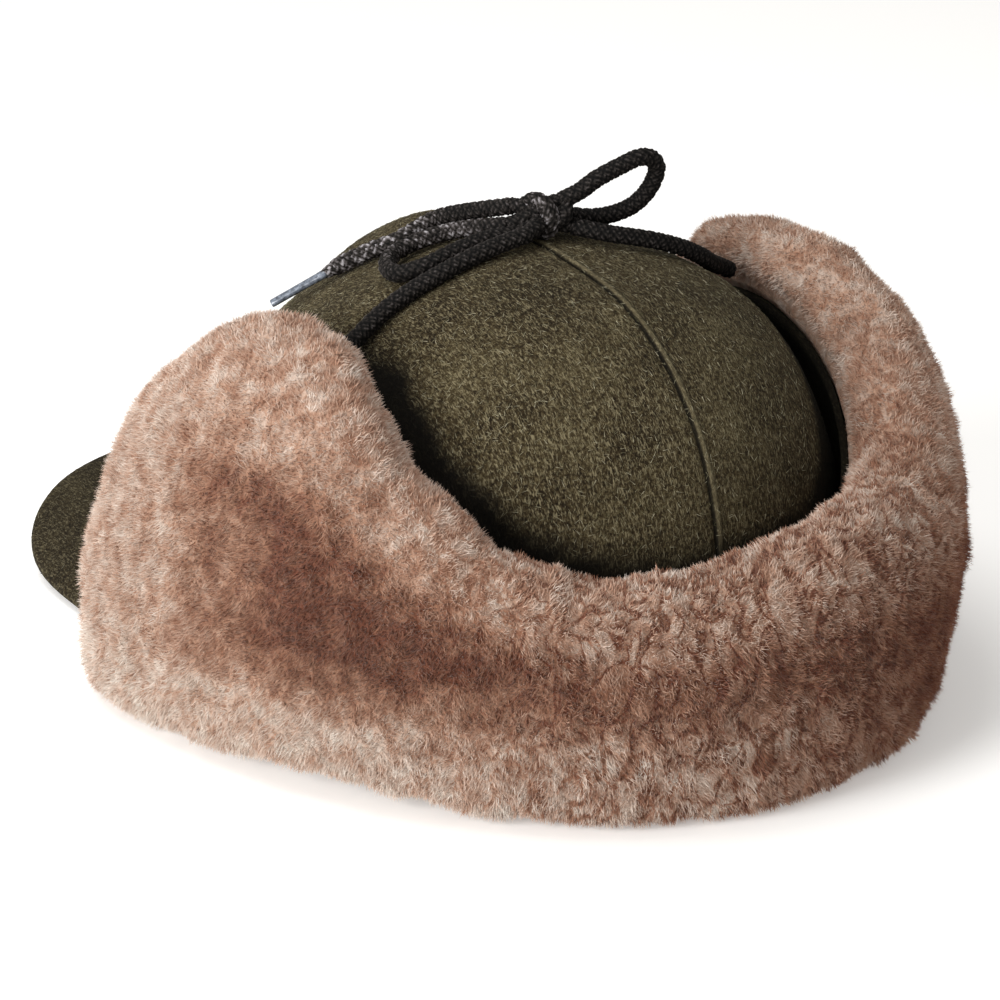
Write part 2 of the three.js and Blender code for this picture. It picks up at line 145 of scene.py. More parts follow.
world = bpy.data.worlds.new("studio")
world.use_nodes = True
world.node_tree.nodes["Background"].inputs["Color"].default_value = linear("#fbfaf8")
world.node_tree.nodes["Background"].inputs["Strength"].default_value = 0.42
bpy.context.scene.world = world
bpy.context.scene.view_settings.view_transform = "Standard"

# Cords: round braid of 16 polyester yarns, charcoal and black, with pale grey yarn ends showing as
# flecks. The ties come up out of the flaps to the knot. The bow has two loops and two free ends.
CORD_DIAMETER = 0.0046
CORD_SIDES = 36
CORD_STEP = 0.00045
YARNS_EACH_WAY = 8
YARN_PITCH = 0.00155
YARN_RELIEF = 0.0006
START_TAPER = 0.004
END_TAPER = 0.005
TIE_LEFT = [
    (64.6, 12.8, 106.2), (62.4, 12.7, 107.3), (59.2, 12.6, 108.9), (54.2, 11.9, 112.0), (47.8, 11.9, 115.8),
    (42.0, 12.4, 118.7), (33.7, 13.4, 122.2), (24.3, 14.0, 125.3), (15.7, 14.4, 127.4), (9.5, 14.8, 128.6),
    (5.0, 14.6, 129.2),
]
TIE_RIGHT = [
    (-64.9, 12.8, 105.8), (-62.8, 13.0, 106.9), (-59.6, 13.9, 108.6), (-55.5, 16.4, 110.7),
    (-49.5, 20.2, 114.5), (-42.0, 22.6, 118.7), (-33.6, 23.2, 122.3), (-26.4, 22.0, 124.5),
    (-19.4, 19.4, 126.1), (-14.0, 15.8, 127.4), (-10.6, 12.6, 128.2),
]
LOOP_LEFT = [
    (5.0, 4.6, 129.0), (7.6, 1.2, 128.4), (10.2, -4.0, 127.1), (13.6, -9.4, 125.4), (18.6, -13.2, 123.6),
    (24.0, -15.2, 121.7), (29.6, -14.8, 120.2), (34.2, -11.0, 119.6), (37.4, -5.2, 119.2), (37.6, 1.2, 120.1),
    (33.2, 5.6, 122.5), (24.6, 6.8, 125.2), (16.4, 7.8, 127.3), (10.4, 8.9, 127.9), (5.4, 9.6, 127.9),
]
LOOP_RIGHT = [
    (-8.4, 10.4, 135.2), (-13.3, 12.4, 137.6), (-17.7, 13.8, 140.6), (-25.0, 15.4, 143.7),
    (-29.8, 16.5, 145.4), (-33.6, 16.6, 145.0), (-36.8, 15.7, 141.9), (-37.1, 14.3, 137.9),
    (-35.5, 12.6, 133.5), (-32.0, 11.0, 130.0), (-26.4, 9.6, 128.2), (-20.5, 8.2, 127.9),
    (-15.2, 7.2, 128.9), (-10.6, 6.8, 130.4),
]
END_LEFT = [
    (1.8, 2.0, 133.4), (3.6, -2.0, 132.2), (4.8, -7.0, 130.7), (6.8, -15.6, 127.9), (9.8, -22.6, 125.2),
    (15.0, -24.2, 123.0), (22.0, -24.8, 120.2), (27.3, -29.6, 117.0), (33.2, -35.2, 112.8),
    (38.6, -38.5, 109.2),
]
END_RIGHT = [
    (-7.2, 1.8, 131.6), (-12.0, -3.5, 128.8), (-18.0, -10.0, 124.8), (-25.0, -17.0, 120.8),
    (-32.0, -25.0, 116.3), (-38.0, -34.0, 111.0), (-42.0, -43.0, 105.4), (-44.5, -52.0, 99.3),
    (-46.0, -60.0, 93.0),
]


def in_frame(points):
    """Route points, from millimetres about the head's axis to metres in the frame."""
    return np.array([Vector(p) / 1000 + HEAD_CENTRE for p in points])


def smooth_line(points, step):
    """A smooth line through the points, as even steps along its length."""
    first = 2 * points[0] - points[1]
    last = 2 * points[-1] - points[-2]
    ring = np.vstack([first, points, last])
    line = []
    for k in range(len(points) - 1):
        p0, p1, p2, p3 = ring[k:k + 4]
        t1 = np.linalg.norm(p1 - p0) ** 0.5
        t2 = t1 + np.linalg.norm(p2 - p1) ** 0.5
        t3 = t2 + np.linalg.norm(p3 - p2) ** 0.5
        for t in np.linspace(t1, t2, 24, endpoint=False):
            a1 = (t1 - t) / t1 * p0 + t / t1 * p1
            a2 = (t2 - t) / (t2 - t1) * p1 + (t - t1) / (t2 - t1) * p2
            a3 = (t3 - t) / (t3 - t2) * p2 + (t - t2) / (t3 - t2) * p3
            b1 = (t2 - t) / t2 * a1 + t / t2 * a2
            b2 = (t3 - t) / (t3 - t1) * a2 + (t - t1) / (t3 - t1) * a3
            line.append((t2 - t) / (t2 - t1) * b1 + (t - t1) / (t2 - t1) * b2)
    line = np.array(line + [points[-1]])
    along = np.concatenate([[0], np.cumsum(np.linalg.norm(np.diff(line, axis=0), axis=1))])
    stations = np.linspace(0, along[-1], max(2, round(along[-1] / step)) + 1)
    return np.column_stack([np.interp(stations, along, line[:, k]) for k in range(3)]), stations


def turn_along(line):
    """Two directions across a line at each of its points, carried along it without twist."""
    ahead = np.gradient(line, axis=0)
    ahead /= np.linalg.norm(ahead, axis=1)[:, None]
    across = np.cross(ahead[0], (0, 0, 1))
    across /= np.linalg.norm(across)
    sides = []
    for direction in ahead:
        across = across - direction * np.dot(across, direction)
        across /= np.linalg.norm(across)
        sides.append(across)
    sides = np.array(sides)
    return sides, np.cross(ahead, sides)


def hidden_value(cells, salt):
    """A fixed value from 0 to 1 for each whole-numbered cell."""
    value = np.sin(cells[0] * 127.1 + cells[1] * 311.7 + salt * 74.7) * 43758.5453
    return value - np.floor(value)


def tube_of_rings(rings):
    """Vertices and faces of a closed tube from rings of points, with a point at the middle of each end."""
    count, sides = rings.shape[:2]
    points = np.vstack([rings.reshape(-1, 3), rings[0].mean(0), rings[-1].mean(0)])
    faces = []
    for j in range(count - 1):
        for i in range(sides):
            a, b = j * sides + i, j * sides + (i + 1) % sides
            faces.append((a, b, b + sides, a + sides))
    start, end = count * sides, count * sides + 1
    for i in range(sides):
        n = (i + 1) % sides
        faces.append((start, n, i))
        faces.append((end, (count - 1) * sides + i, (count - 1) * sides + n))
    return points, faces


def mesh_piece(name, points, faces, material, **attributes):
    """A smooth mesh object at the origin, facing out, with an attribute for each named list of values."""
    mesh = bpy.data.meshes.new(name)
    mesh.from_pydata([tuple(p) for p in points], [], faces)
    for key, values in attributes.items():
        mesh.attributes.new(key, "FLOAT", "POINT").data.foreach_set("value", np.asarray(values, np.float32))
    mesh.materials.append(material)
    mesh.polygons.foreach_set("use_smooth", [True] * len(mesh.polygons))
    shape = bmesh.new()
    shape.from_mesh(mesh)
    bmesh.ops.recalc_face_normals(shape, faces=shape.faces)
    shape.to_mesh(mesh)
    shape.free()
    piece = bpy.data.objects.new(name, mesh)
    bpy.context.collection.objects.link(piece)
    return piece


def braid(points, salt, flecks, thin_start=1.0, thin_end=1.0):
    """A braided cord: its rings of points, each point's height in its yarn and paleness, and its middle line.

    flecks pairs a share of the cord's length with how pale its pale yarns are there.
    """
    line, along = smooth_line(points, CORD_STEP)
    side, up = turn_along(line)
    turn = np.linspace(0, 2 * math.pi, CORD_SIDES, endpoint=False)
    round_share = turn / (2 * math.pi) * YARNS_EACH_WAY
    u, v = np.meshgrid(round_share, along / YARN_PITCH)
    one, other = u + v, v - u
    row = np.floor(one) + np.floor(other)
    over = np.mod(row, 4) < 2
    place = np.where(over, one, other)
    crossing = np.where(over, other, one)
    across_yarn = place - np.floor(place) - 0.5
    arch = np.clip(1 - (2 * across_yarn) ** 2, 0, 1) * np.sin(np.mod(crossing, 2) / 2 * math.pi) ** 0.5
    yarn = hidden_value((np.floor(place) * 7 + over, np.floor(crossing / 2)), salt)
    radius = CORD_DIAMETER / 2 + YARN_RELIEF * (arch - 0.5)
    fade = np.minimum(1, along / START_TAPER), np.minimum(1, (along[-1] - along) / END_TAPER)
    taper = (thin_start + (1 - thin_start) * fade[0]) * (thin_end + (1 - thin_end) * fade[1])
    radius = radius * taper[:, None]
    rings = (line[:, None, :] + radius[..., None] * (
        np.cos(u / YARNS_EACH_WAY * 2 * math.pi)[..., None] * side[:, None, :]
        + np.sin(u / YARNS_EACH_WAY * 2 * math.pi)[..., None] * up[:, None, :]))
    amount = np.interp(along / along[-1], [f[0] for f in flecks], [f[1] for f in flecks])
    return rings, arch, amount[:, None] * yarn, line


# Braided polyester, heat-set: a painted highlight along each yarn, and painted shade, nearly black, in the
# creases between yarns.
# The flecks are drawn at about 0.5 mm, the width of the yarn ends that show.
braided_polyester, tree, shader = finish_of("braided_polyester", 0.8, 0.0, "#c9c6cc", 1.54, gloss=0.12)
yarn_arch_painted_light = add(tree, "ShaderNodeAttribute", attribute_name="yarn").outputs["Fac"]
pale_yarn = add(tree, "ShaderNodeAttribute", attribute_name="flecks").outputs["Fac"]
place = add(tree, "ShaderNodeTexCoord").outputs["Object"]
speckle = add(tree, "ShaderNodeTexNoise", {"Vector": place, "Scale": 1500, "Detail": 3, "Roughness": 0.7})
bright = add(tree, "ShaderNodeMath", {0: speckle.outputs["Fac"], 1: 0.5, 2: -0.08}, operation="MULTIPLY_ADD")
# painted light: the colour is paler on the crown of each yarn, a painted highlight, and darkest in its
# creases, painted shade
bright = add(tree, "ShaderNodeMath", {0: yarn_arch_painted_light, 1: 0.5, 2: bright.outputs[0]}, operation="MULTIPLY_ADD")
bright = add(tree, "ShaderNodeMath", {0: pale_yarn, 1: 0.42, 2: bright.outputs[0]}, operation="MULTIPLY_ADD")
colour = ramp(tree, bright.outputs[0], (0.22, "#000000"), (0.42, "#0c0a09"), (0.62, "#2b2724"),
              (0.8, "#5a5555"), (1.0, "#a09c9e"))
tree.links.new(colour, shader.inputs["Base Color"])
thread = add(tree, "ShaderNodeTexNoise", {"Vector": place, "Scale": 3200, "Detail": 2})
relief = add(tree, "ShaderNodeBump", {"Height": thread.outputs["Fac"], "Strength": 0.5, "Distance": 0.0002})
tree.links.new(relief.outputs[0], shader.inputs["Normal"])

CORDS = [
    # node, route, far end, flecks along it, thinned at its end
    ("tie_cord_left", TIE_LEFT, "knot", [(0, 0.15), (1, 0.25)], 1),
    ("tie_cord_right", TIE_RIGHT, "knot", [(0, 0.05), (1, 0.1)], 1),
    ("bow_loop_left", LOOP_LEFT, "knot",
     [(0, 0.2), (0.16, 0.9), (0.3, 0.85), (0.5, 0.4), (0.62, 0.15), (1, 0.2)], 1),
    ("bow_loop_right", LOOP_RIGHT, "knot", [(0, 0.2), (0.3, 0.05), (1, 0.15)], 1),
    ("bow_end_left", END_LEFT, "fitting", [(0, 0.3), (0.35, 0.2), (0.5, 1.0), (1, 1.3)], 0.5),
    ("bow_end_right", END_RIGHT, "fitting", [(0, 0.25), (0.5, 0.3), (0.7, 0.8), (1, 0.95)], 0.5),
]
cord_pieces = {}
cord_lines = {}
for salt, (node, route, far_end, flecks, thin_end) in enumerate(CORDS):
    rings, shade, amount, line = braid(in_frame(route), salt, flecks, thin_end=thin_end)
    points, faces = tube_of_rings(rings)
    ends = np.array([0.5, 0.5])
    piece = mesh_piece("braided_" + node, points, faces, braided_polyester,
                       yarn=np.concatenate([shade.ravel(), ends]),
                       flecks=np.concatenate([amount.ravel(), ends]))
    cord_pieces[node] = piece
    cord_lines[node] = line

# Knot: the same cord. One turn is wrapped tightly round the middle of the bow, over the strands of the
# loops, ties and ends that pass through it.
KNOT_STRANDS = [
    # the wrap, then what passes through it
    [(-1.2, 4.6, 128.6), (-1.0, 3.4, 131.2), (-1.4, 4.4, 134.0), (-2.2, 7.4, 135.6), (-3.0, 10.8, 134.8),
     (-3.6, 12.6, 131.8), (-3.6, 12.0, 128.8), (-3.0, 9.6, 126.9), (-2.2, 6.6, 126.8)],
    [(5.4, 4.2, 129.2), (2.4, 6.4, 130.2), (-2.0, 7.6, 131.9), (-6.2, 9.2, 134.0), (-9.4, 10.8, 135.8)],
    [(5.8, 9.6, 128.0), (1.6, 9.8, 128.6), (-3.4, 8.8, 129.4), (-7.6, 7.6, 130.0), (-11.2, 6.8, 130.3)],
    [(5.6, 14.5, 129.2), (2.6, 13.2, 129.6), (-0.6, 11.0, 130.2), (-3.0, 9.0, 131.0)],
    [(-11.2, 12.9, 128.2), (-8.4, 11.6, 128.8), (-5.6, 10.0, 129.8), (-3.2, 8.6, 131.0)],
    [(2.2, 1.2, 133.4), (0.4, 3.8, 133.4), (-1.6, 6.4, 132.8), (-3.4, 8.4, 131.6)],
    [(-7.9, 1.2, 131.3), (-6.0, 3.6, 131.8), (-4.4, 6.0, 131.8), (-3.0, 8.2, 131.2)],
    [(-4.6, 12.8, 130.0), (-7.4, 13.0, 131.6), (-9.0, 11.6, 133.6), (-8.4, 9.0, 134.6), (-5.4, 7.4, 133.8)],
]
knot_points = []
knot_faces = []
knot_yarn = []
knot_flecks = []
for salt, strand in enumerate(KNOT_STRANDS):
    paleness = 0.8 if salt == 0 else 0.2
    rings, shade, amount, line = braid(in_frame(strand), 20 + salt, [(0, paleness)], 0.8, 0.8)
    points, faces = tube_of_rings(rings)
    base = sum(len(p) for p in knot_points)
    knot_points.append(points)
    knot_faces += [tuple(k + base for k in face) for face in faces]
    knot_yarn += [*shade.ravel(), 0.5, 0.5]
    knot_flecks += [*amount.ravel(), 0.2, 0.2]
knot = mesh_piece("braided_bow_knot", np.vstack(knot_points), knot_faces, braided_polyester,
                  yarn=knot_yarn, flecks=knot_flecks)
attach(knot, "root")
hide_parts("bow_knot")

# Aglets: a sleeve of clear grey acetate film, rolled round the cord's end and pressed while hot, so it
# is glossy, a little flat, and shows its rolled edge as a fine step.
AGLET_RADIUS = 0.0014
AGLET_OVERLAP = 0.0016
AGLET_SIDES = 28
AGLET_WIDE = 1.12
AGLET_FLAT = 0.8
ROLLED_STEP = 0.05
AGLET_PROFILE = [
    # along the sleeve in metres, share of its radius
    (0, 0.7), (0.0002, 1.05), (0.0012, 1.1), (0.003, 1.04), (0.006, 1), (0.011, 0.98), (0.0158, 0.98),
    (0.0174, 0.97), (0.0178, 0.9), (0.0178, 0.72), (0.0172, 0.6),
]
acetate_film, tree, shader = finish_of("acetate_film_sleeve", 0.22, ior=1.47)
place = add(tree, "ShaderNodeTexCoord").outputs["Object"]
streak = add(tree, "ShaderNodeTexNoise", {"Vector": place, "Scale": 900, "Detail": 4, "Roughness": 0.6})
colour = ramp(tree, streak.outputs["Fac"], (0.35, "#3e434b"), (0.5, "#646b76"), (0.68, "#8d949f"))
tree.links.new(colour, shader.inputs["Base Color"])
relief = add(tree, "ShaderNodeBump", {"Height": streak.outputs["Fac"], "Strength": 0.25, "Distance": 0.0002})
tree.links.new(relief.outputs[0], shader.inputs["Normal"])
shader.inputs["Coat Weight"].default_value = 0.5
shader.inputs["Coat Roughness"].default_value = 0.12
for side_name in ("left", "right"):
    line = cord_lines["bow_end_" + side_name]
    ahead = Vector((line[-1] - line[-3]).tolist()).normalized()
    flat = ahead.cross(Vector((0, 0, 1))).normalized()
    thin = ahead.cross(flat)
    start = Vector(line[-1].tolist()) - ahead * AGLET_OVERLAP
    turn = np.linspace(0, 2 * math.pi, AGLET_SIDES, endpoint=False)
    step = 1 + ROLLED_STEP * (turn / (2 * math.pi))
    rings = []
    for along, share in AGLET_PROFILE:
        ring = []
        for t, s in zip(turn, step):
            across = flat * (AGLET_WIDE * math.cos(t)) + thin * (AGLET_FLAT * math.sin(t))
            ring.append(start + ahead * along + across * float(AGLET_RADIUS * share * s))
        rings.append(ring)
    points, faces = tube_of_rings(np.array(rings))
    aglet = mesh_piece("film_aglet_" + side_name, points, faces, acetate_film)
    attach(aglet, "root")
    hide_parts("aglet_" + side_name)

for node, route, far_end, flecks, thin_end in CORDS:
    piece = cord_pieces[node]
    line = cord_lines[node]
    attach(piece, "root")
    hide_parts(node)

# Crown: four quarters of olive melton, a wool cloth that is milled until its weave is hidden under
# felted fibre. They are sewn edge to edge, and each seam is pressed to the wearer's right.
CROWN_NODES = ["crown_panel_front_left", "crown_panel_back_left", "crown_panel_back_right",
               "crown_panel_front_right"]
SEAM_WIDTH = 0.0009
ALLOWANCE_WIDTH = 0.0023
ALLOWANCE_HEIGHT = 0.0005
FIBRES_A_PANEL = 5500
FIBRE_LENGTH = 0.0016
FIBRE_WIDTH = 0.00009
# painted shade in the fold: how far from the pile it reaches at each angle, how it fades, and how dark it
# gets
FOLD_DEPTHS = ([65, 95, 120, 155], [0.004, 0.0098, 0.0105, 0.0088])
FOLD_FADE = 0.002
FOLD_SHADE_DARKNESS = 0.96
SEAM_GAP = 0.0004
SEWN_GAP = 0.00002
CROWN_MIDDLE = Vector((0, 0, 0.05))


def melton(name, base, mid, light, fleck, seam=False):
    """Milled wool: dark felted ground with paler and greener fibres in it, and the seam's two edges."""
    material, tree, shader = finish_of(name, 0.95, 0.04, "#8f8a6c", 1.55, gloss=0.12)
    place = add(tree, "ShaderNodeTexCoord").outputs["Object"]
    felt = add(tree, "ShaderNodeTexNoise", {"Vector": place, "Scale": 1000, "Detail": 6, "Roughness": 0.8})
    patch = add(tree, "ShaderNodeTexNoise", {"Vector": place, "Scale": 45, "Detail": 3})
    top = None
    for turn in ((0.3, 0.5, 0.2), (1.3, 0.2, 1.1), (0.4, 1.4, 2.2)):
        spun = add(tree, "ShaderNodeMapping", {"Vector": place, "Rotation": turn, "Scale": (1, 0.25, 0.25)})
        wave = add(tree, "ShaderNodeTexNoise", {"Vector": spun.outputs[0], "Scale": 2400, "Detail": 1,
                                                "Distortion": 0.8}).outputs["Fac"]
        top = wave if top is None else add(tree, "ShaderNodeMath", {0: top, 1: wave},
                                           operation="MAXIMUM").outputs[0]
    tone = add(tree, "ShaderNodeMath", {0: patch.outputs["Fac"], 1: 0.3, 2: felt.outputs["Fac"]},
               operation="MULTIPLY_ADD")
    tone = add(tree, "ShaderNodeMath", {0: tone.outputs[0], 1: 0.15}, operation="SUBTRACT")
    colour = ramp(tree, tone.outputs[0], (0.4, base), (0.5, mid), (0.6, light), (0.72, fleck))
    shown = add(tree, "ShaderNodeMapRange", {"Value": top, "From Min": 0.6, "From Max": 0.72, "To Max": 0.85})
    colour = add(tree, "ShaderNodeMix", {0: shown.outputs[0], 6: colour, 7: linear(fleck)},
                 data_type="RGBA").outputs[2]
    height = add(tree, "ShaderNodeMath", {0: felt.outputs["Fac"], 1: 0.6, 2: top}, operation="MULTIPLY_ADD")
    if seam:
        across = add(tree, "ShaderNodeSeparateXYZ", {0: place}).outputs[0]
        off_edge = add(tree, "ShaderNodeMath", {0: across, 1: ALLOWANCE_WIDTH / 2}, operation="ADD")
        off_edge = add(tree, "ShaderNodeMath", {0: off_edge.outputs[0]}, operation="ABSOLUTE")
        ridge = add(tree, "ShaderNodeMapRange", {
            "Value": off_edge.outputs[0], "From Min": 0.0003, "From Max": ALLOWANCE_WIDTH / 2,
            "To Min": 1.0, "To Max": 0.0}, interpolation_type="SMOOTHSTEP").outputs[0]
        off_line = add(tree, "ShaderNodeMath", {0: across}, operation="ABSOLUTE")
        line = add(tree, "ShaderNodeMapRange", {
            "Value": off_line.outputs[0], "From Min": SEAM_WIDTH / 4, "From Max": SEAM_WIDTH,
            "To Min": 0.9, "To Max": 0.0}, interpolation_type="SMOOTHSTEP").outputs[0]
        # the raised allowance is painted paler: a painted highlight on the ridge
        ridge_painted_highlight = add(tree, "ShaderNodeMath", {0: ridge, 1: 0.3}, operation="MULTIPLY")
        colour = add(tree, "ShaderNodeMix", {0: ridge_painted_highlight.outputs[0], 6: colour, 7: linear(fleck)},
                     data_type="RGBA").outputs[2]
        colour = add(tree, "ShaderNodeMix", {0: line, 6: colour, 7: linear("#0a0703")},
                     data_type="RGBA").outputs[2]
        height = add(tree, "ShaderNodeMath", {0: ridge, 1: 1.4, 2: height.outputs[0]},
                     operation="MULTIPLY_ADD")
    colour = fold_painted_shade(tree, colour)
    tree.links.new(colour, shader.inputs["Base Color"])
    relief = add(tree, "ShaderNodeBump", {"Height": height.outputs[0], "Strength": 0.8, "Distance": 0.0006})
    tree.links.new(relief.outputs[0], shader.inputs["Normal"])
    return material


def fold_painted_shade(tree, colour):
    """A colour with painted shade: nearly black deep in the fold between the crown and the turned-up flaps.
    """
    fold = add(tree, "ShaderNodeAttribute", attribute_name="fold").outputs["Fac"]
    depth = add(tree, "ShaderNodeMath", {0: fold, 1: FOLD_SHADE_DARKNESS}, operation="MULTIPLY").outputs[0]
    return add(tree, "ShaderNodeMix", {0: depth, 6: colour, 7: linear("#060402")},
               data_type="RGBA").outputs[2]


olive_melton = melton("olive_melton_wool", "#150e05", "#2e2516", "#483f2a", "#776e55")
seamed_melton = melton("olive_melton_seamed", "#150e05", "#2e2516", "#483f2a", "#776e55", seam=True)
# a darker copy of the same wool: painted shade for the cloth in the gap
shaded_melton = melton("olive_melton_painted_fold_shade", "#0b0804", "#120e07", "#1b160c", "#2a261a")


def finer_copy(node, name, levels):
    """A copy of a CAD node's mesh, joined, with its outline kept and its faces rounded off."""
    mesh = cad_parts[node].data.copy()
    mesh.name = name
    shape = bmesh.new()
    shape.from_mesh(mesh)
    bmesh.ops.remove_doubles(shape, verts=shape.verts, dist=1e-6)
    bmesh.ops.recalc_face_normals(shape, faces=shape.faces)
    bmesh.ops.join_triangles(shape, faces=shape.faces, angle_face_threshold=0.7, angle_shape_threshold=0.7)
    crease = shape.edges.layers.float.new("crease_edge")
    for edge in shape.edges:
        if len(edge.link_faces) == 2 and edge.calc_face_angle(0) > math.radians(55):
            edge[crease] = 0.75
    shape.to_mesh(mesh)
    shape.free()
    piece = bpy.data.objects.new(name, mesh)
    bpy.context.collection.objects.link(piece)
    modifier = piece.modifiers.new("rounding", "SUBSURF")
    modifier.levels = modifier.render_levels = levels
    made = bpy.data.meshes.new_from_object(piece.evaluated_get(bpy.context.evaluated_depsgraph_get()))
    piece.modifiers.clear()
    piece.data = made
    made.name = name
    made.polygons.foreach_set("use_smooth", [True] * len(made.polygons))
    return piece


def dress(piece, node, material):
    """Gives a piece its material, and has it ride and stand for its node."""
    piece.data.materials.clear()
    piece.data.materials.append(material)
    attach(piece, "root")
    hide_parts(node)


# Melton's loose fibres: each lies flat on the felt in its own direction, as a sliver pointed at one end.
fibre_tree = bpy.data.node_groups.new("loose_fibres", "GeometryNodeTree")
for label, kind in (("Geometry", "NodeSocketGeometry"), ("Density", "NodeSocketFloat"),
                    ("Length", "NodeSocketFloat"), ("Width", "NodeSocketFloat"), ("Seed", "NodeSocketInt"),
                    ("Material", "NodeSocketMaterial")):
    fibre_tree.interface.new_socket(label, in_out="INPUT", socket_type=kind)
fibre_tree.interface.new_socket("Geometry", in_out="OUTPUT", socket_type="NodeSocketGeometry")
given = add(fibre_tree, "NodeGroupInput").outputs
scatter = add(fibre_tree, "GeometryNodeDistributePointsOnFaces",
              {"Mesh": given["Geometry"], "Density": given["Density"], "Seed": given["Seed"]})
tone = add(fibre_tree, "FunctionNodeRandomValue", {"Seed": given["Seed"]}, data_type="FLOAT")
toned = add(fibre_tree, "GeometryNodeStoreNamedAttribute",
            {"Geometry": scatter.outputs["Points"], "Name": "tone", "Value": tone.outputs[1]},
            data_type="FLOAT", domain="POINT")
any_way = add(fibre_tree, "FunctionNodeRandomValue", {0: (-1, -1, -1), 1: (1, 1, 1), "Seed": given["Seed"]},
              data_type="FLOAT_VECTOR").outputs[0]
lying = add(fibre_tree, "ShaderNodeVectorMath", {0: any_way, 1: scatter.outputs["Normal"]},
            operation="CROSS_PRODUCT")
lying = add(fibre_tree, "ShaderNodeVectorMath", {0: lying.outputs[0]}, operation="NORMALIZE")
rising = add(fibre_tree, "ShaderNodeVectorMath", {0: scatter.outputs["Normal"], "Scale": 0.12},
             operation="SCALE")
aim = add(fibre_tree, "ShaderNodeVectorMath", {0: lying.outputs[0], 1: rising.outputs[0]}, operation="ADD")
turned = add(fibre_tree, "FunctionNodeAlignRotationToVector", {"Vector": aim.outputs[0]}, axis="Z")
size = add(fibre_tree, "FunctionNodeRandomValue", {2: 0.45, 3: 1.3, "Seed": given["Seed"]}, data_type="FLOAT")
long = add(fibre_tree, "ShaderNodeMath", {0: size.outputs[1], 1: given["Length"]}, operation="MULTIPLY")
scale = add(fibre_tree, "ShaderNodeCombineXYZ",
            {"X": given["Width"], "Y": given["Width"], "Z": long.outputs[0]})
sliver = add(fibre_tree, "GeometryNodeMeshCone", {"Vertices": 3, "Side Segments": 1, "Radius Top": 0.0,
                                                  "Radius Bottom": 1.0, "Depth": 1.0})
placed = add(fibre_tree, "GeometryNodeInstanceOnPoints", {
    "Points": toned.outputs[0], "Instance": sliver.outputs["Mesh"], "Rotation": turned.outputs[0],
    "Scale": scale.outputs[0]})
real = add(fibre_tree, "GeometryNodeRealizeInstances", {"Geometry": placed.outputs[0]})
dressed = add(fibre_tree, "GeometryNodeSetMaterial",
              {"Geometry": real.outputs[0], "Material": given["Material"]})
add(fibre_tree, "NodeGroupOutput", {"Geometry": dressed.outputs[0]})

loose_wool, tree, shader = finish_of("melton_loose_fibres", 0.9, gloss=0.2)
tone = add(tree, "ShaderNodeAttribute", attribute_name="tone").outputs["Fac"]
colour = ramp(tree, tone, (0.1, "#282312"), (0.45, "#494630"), (0.75, "#7b755d"), (0.97, "#a09a82"))
# the loose fibres take the same painted shade in the fold
tree.links.new(fold_painted_shade(tree, colour), shader.inputs["Base Color"])


def grow(tree, ground, name, settings):
    """What a tree grows on a ground mesh, as a plain mesh object of that name."""
    field = bpy.data.objects.new(name, ground)
    bpy.context.collection.objects.link(field)
    modifier = field.modifiers.new("growth", "NODES")
    modifier.node_group = tree
    for item in tree.interface.items_tree:
        if item.in_out == "INPUT" and item.name in settings:
            modifier[item.identifier] = settings[item.name]
    grown = bpy.data.meshes.new_from_object(field.evaluated_get(bpy.context.evaluated_depsgraph_get()))
    field.modifiers.clear()
    field.data = grown
    grown.name = name
    return field


def ground_of(mesh, keep):
    """The faces of a mesh that keep chooses, as a mesh of their own with its attributes, and their area."""
    ground = mesh.copy()
    shape = bmesh.new()
    shape.from_mesh(ground)
    shape.faces.ensure_lookup_table()
    bmesh.ops.delete(shape, geom=[f for f in shape.faces if not keep(f)], context="FACES")
    area = sum(f.calc_area() for f in shape.faces)
    shape.to_mesh(ground)
    shape.free()
    return ground, area


def outward(face):
    return face.normal.dot(face.calc_center_median() - HEAD_CENTRE - CROWN_MIDDLE) > 0


def around_head(spot):
    """A point's offset from the head's axis in millimetres, and its angle from the front on either side."""
    off = (spot - HEAD_CENTRE) * 1000
    return off, math.degrees(math.atan2(abs(off.x), -off.y))


pile_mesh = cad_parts["earflap_fur"].data
pile_tree = bvhtree.BVHTree.FromPolygons(
    [v.co for v in pile_mesh.vertices], [p.vertices for p in pile_mesh.polygons])


def mark_fold_painted_shade(mesh):
    """Marks how deep each point is in the fold, from how near it is to the pile, for the painted shade there.
    """
    fold = []
    for vertex in mesh.vertices:
        edge = np.interp(around_head(vertex.co)[1], *FOLD_DEPTHS)
        near = pile_tree.find_nearest(vertex.co)[3]
        fold.append(float(np.interp(near, [edge - FOLD_FADE, edge], [1, 0])))
    mesh.attributes.new("fold", "FLOAT", "POINT").data.foreach_set("value", fold)


def grow_fibres(piece, node, keep, count, seed):
    """Loose fibres on the faces of a piece that keep chooses, riding with its node."""
    ground, area = ground_of(piece.data, keep)
    fibres = grow(fibre_tree, ground, "fibres_" + node, {
        "Density": count / area, "Length": FIBRE_LENGTH, "Width": FIBRE_WIDTH, "Seed": seed,
        "Material": loose_wool})
    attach(fibres, "root")
    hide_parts(node)


